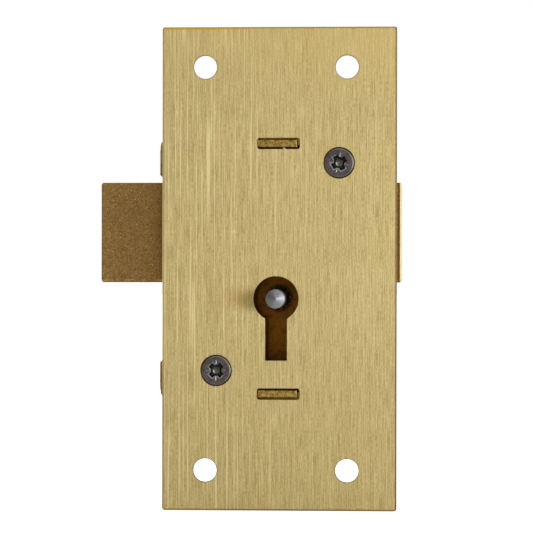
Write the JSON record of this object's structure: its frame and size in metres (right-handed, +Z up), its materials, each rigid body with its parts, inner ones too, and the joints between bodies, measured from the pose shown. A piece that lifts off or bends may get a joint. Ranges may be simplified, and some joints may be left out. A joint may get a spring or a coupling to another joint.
{
  "type": "cabinet lock",
  "caption": "Surface cupboard lock with a flat brass plate, folded case, pin keyhole, lever pack and a bolt that shoots through either side.",
  "frame": {"origin": "middle of the four fixing holes, on the face of the plate that meets the door", "axes": "+X to the right across the plate, +Y from the door into the lock's case, +Z up along the plate"},
  "size_m": [0.0474, 0.0171, 0.075],
  "materials": {
    "plate_brass": "brushed along its length",
    "case_brass": "rolled sheet, dull",
    "bolt_bronze": "cast and blasted",
    "pin_steel": "turned",
    "screw_steel": "dark plated",
    "turned_brass": "turned",
    "lever_brass": "stamped",
    "spring_bronze": "hard rolled strip"
  },
  "bodies": {
    "lock_case": {"front_plate": "plate_brass", "case": "case_brass", "drill_pin": "pin_steel", "lever_pivot_post": "turned_brass", "upper_pillar": "turned_brass", "lower_pillar": "turned_brass", "upper_cap_screw": "screw_steel", "lower_cap_screw": "screw_steel"},
    "bolt_body": {"bolt": "bolt_bronze", "bolt_stump": "turned_brass"},
    "lever_body_1": {"lever_1": "lever_brass", "lever_spring_1": "spring_bronze"},
    "lever_body_2": {"lever_2": "lever_brass", "lever_spring_2": "spring_bronze"},
    "lever_body_3": {"lever_3": "lever_brass", "lever_spring_3": "spring_bronze"},
    "lever_body_4": {"lever_4": "lever_brass", "lever_spring_4": "spring_bronze"}
  },
  "joints": [
    {"name": "bolt_slide", "type": "slide", "parent": "lock_case", "child": "bolt_body", "axis": [1, 0, 0], "range_m": [0, 0.0085]},
    {"name": "lever_1_turn", "type": "hinge", "parent": "lock_case", "child": "lever_body_1", "pos_m": [0.0126, 0.00267, -0.0044], "axis": [0, 1, 0], "range_deg": [-7, 0], "stiffness_Nm_per_rad": 0.02, "springref_deg": -20.05},
    {"name": "lever_2_turn", "type": "hinge", "parent": "lock_case", "child": "lever_body_2", "pos_m": [0.0126, 0.00378, -0.0044], "axis": [0, 1, 0], "range_deg": [-7, 0], "stiffness_Nm_per_rad": 0.02, "springref_deg": -20.05},
    {"name": "lever_3_turn", "type": "hinge", "parent": "lock_case", "child": "lever_body_3", "pos_m": [0.0126, 0.00487, -0.0044], "axis": [0, 1, 0], "range_deg": [-7, 0], "stiffness_Nm_per_rad": 0.02, "springref_deg": -20.05},
    {"name": "lever_4_turn", "type": "hinge", "parent": "lock_case", "child": "lever_body_4", "pos_m": [0.0126, 0.00598, -0.0044], "axis": [0, 1, 0], "range_deg": [-7, 0], "stiffness_Nm_per_rad": 0.02, "springref_deg": -20.05}
  ]
}
